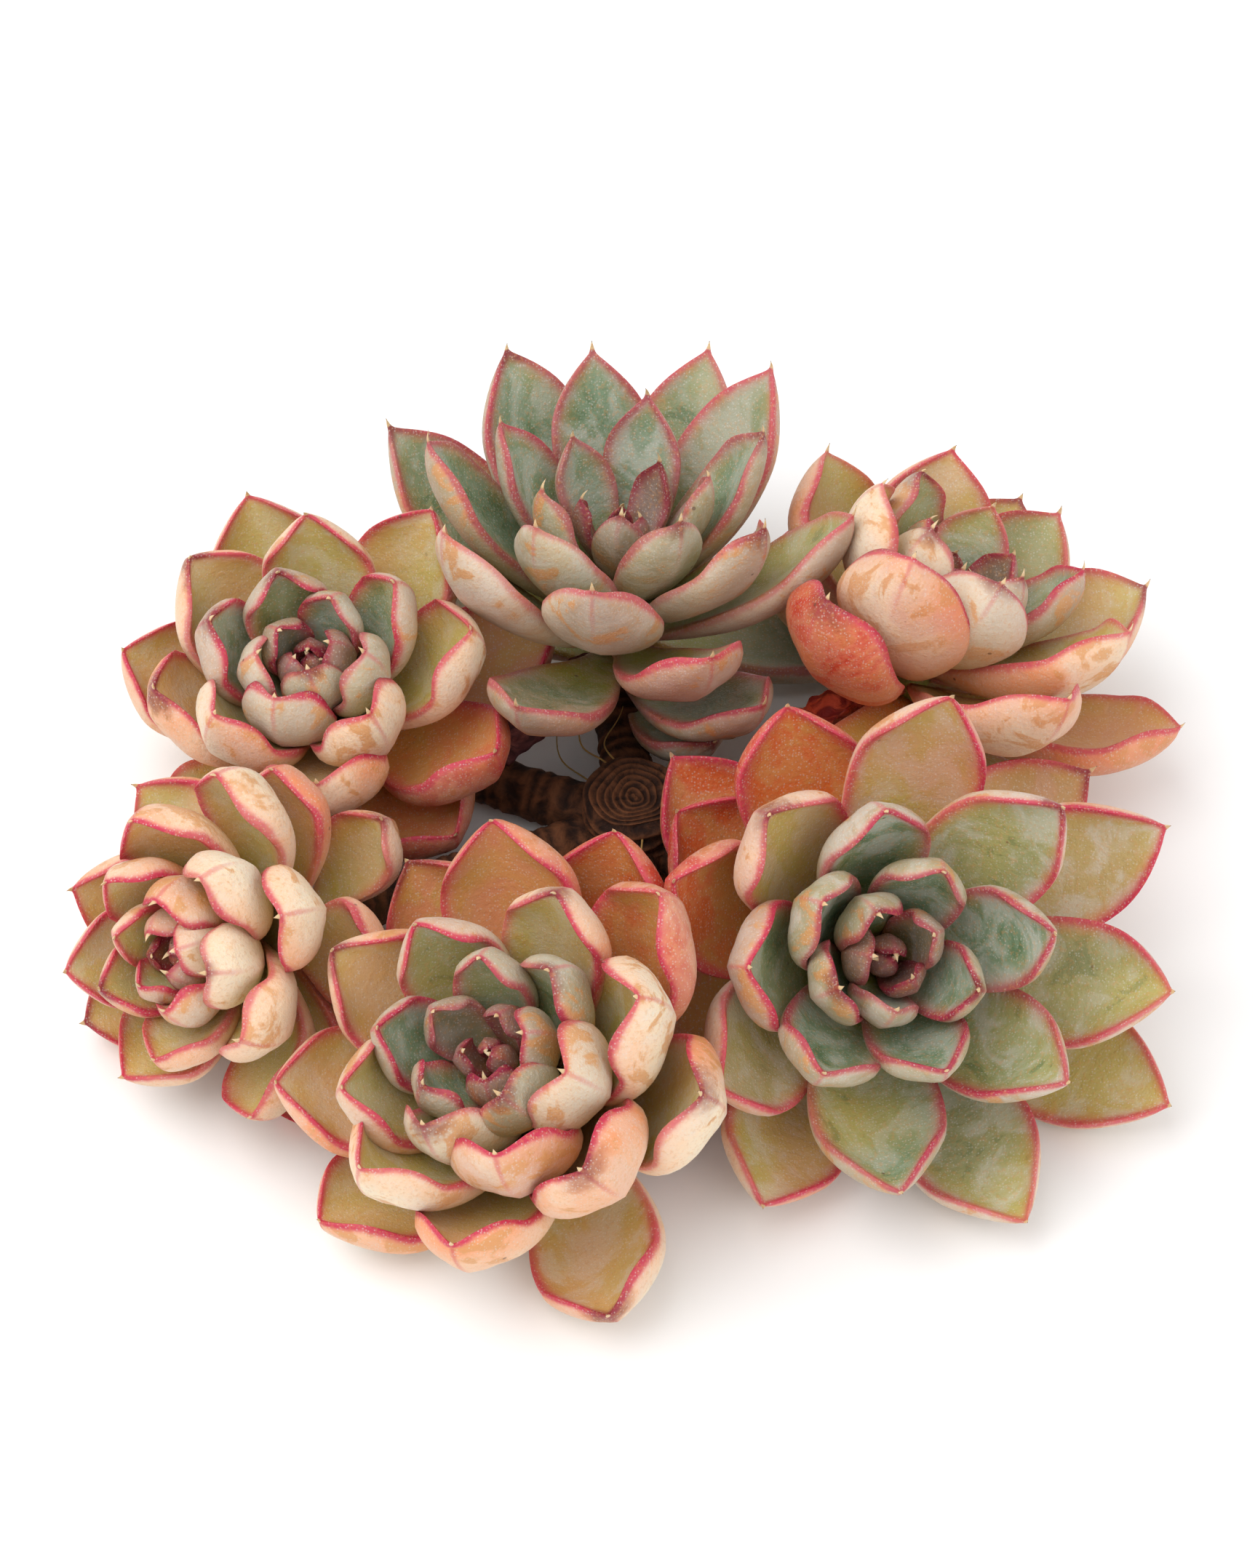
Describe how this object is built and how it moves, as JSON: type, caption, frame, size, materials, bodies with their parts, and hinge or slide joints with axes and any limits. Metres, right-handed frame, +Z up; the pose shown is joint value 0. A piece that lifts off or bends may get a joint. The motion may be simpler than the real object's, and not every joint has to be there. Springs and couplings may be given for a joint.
{
  "type": "many-headed echeveria succulent",
  "caption": "Bare-root clump of a succulent: leafy rosettes of spoon-shaped leaves on short branches of one woody stem, resting on its lowest leaves",
  "frame": {"origin": "centre of the clump's footprint, on the surface it rests on", "axes": "+Z up, +X to the right and +Y away as the plant is usually seen; the widest spread runs along Y"},
  "size_m": [0.155, 0.161, 0.0505],
  "materials": {
    "green_leaf": "waxy matt, grey-green to olive with a pale bloom",
    "blushed_leaf": "waxy matt, olive blushed peach and pink towards margin and keel",
    "woody_bark": "rough, ringed with old leaf scars",
    "withered_leaf": "dry, creased, dull"
  },
  "bodies": {
    "root": {"woody_stem": "woody_bark", "back_rosette_heart": "green_leaf", "back_rosette_leaf_01": "blushed_leaf", "back_rosette_leaf_02": "blushed_leaf", "back_rosette_leaf_03": "blushed_leaf", "back_rosette_leaf_04": "blushed_leaf", "back_rosette_leaf_05": "blushed_leaf", "back_rosette_leaf_06": "blushed_leaf", "back_rosette_leaf_07": "blushed_leaf", "back_rosette_leaf_08": "blushed_leaf", "left_rosette_heart": "green_leaf", "left_rosette_leaf_01": "blushed_leaf", "left_rosette_leaf_02": "blushed_leaf", "left_rosette_leaf_03": "blushed_leaf", "left_rosette_leaf_04": "blushed_leaf", "left_rosette_leaf_05": "blushed_leaf", "left_rosette_leaf_06": "blushed_leaf", "left_rosette_leaf_07": "blushed_leaf", "left_rosette_leaf_08": "blushed_leaf", "far_left_rosette_heart": "green_leaf", "far_left_rosette_leaf_01": "blushed_leaf", "far_left_rosette_leaf_02": "blushed_leaf", "far_left_rosette_leaf_03": "blushed_leaf", "far_left_rosette_leaf_04": "blushed_leaf", "far_left_rosette_leaf_05": "blushed_leaf", "far_left_rosette_leaf_06": "blushed_leaf", "front_rosette_heart": "green_leaf", "front_rosette_leaf_01": "blushed_leaf", "front_rosette_leaf_02": "blushed_leaf", "front_rosette_leaf_03": "blushed_leaf", "front_rosette_leaf_04": "blushed_leaf", "front_rosette_leaf_05": "blushed_leaf", "front_rosette_leaf_06": "blushed_leaf", "front_rosette_leaf_07": "blushed_leaf", "front_rosette_leaf_08": "blushed_leaf", "front_rosette_leaf_09": "blushed_leaf", "front_rosette_leaf_10": "blushed_leaf", "right_rosette_heart": "green_leaf", "right_rosette_leaf_01": "blushed_leaf", "right_rosette_leaf_02": "blushed_leaf", "right_rosette_leaf_03": "blushed_leaf", "right_rosette_leaf_04": "blushed_leaf", "right_rosette_leaf_05": "blushed_leaf", "right_rosette_leaf_06": "blushed_leaf", "right_rosette_leaf_07": "blushed_leaf", "right_rosette_leaf_08": "blushed_leaf", "right_rosette_leaf_09": "blushed_leaf", "back_right_rosette_heart": "green_leaf", "back_right_rosette_leaf_01": "blushed_leaf", "back_right_rosette_leaf_02": "blushed_leaf", "back_right_rosette_leaf_03": "blushed_leaf", "back_right_rosette_leaf_04": "blushed_leaf", "back_right_rosette_leaf_05": "blushed_leaf", "back_right_rosette_leaf_06": "blushed_leaf", "back_right_rosette_leaf_07": "blushed_leaf", "back_right_rosette_leaf_08": "blushed_leaf", "papery_leaf": "withered_leaf", "shrivelled_leaf": "withered_leaf", "curled_leaf": "withered_leaf"}
  },
  "joints": []
}
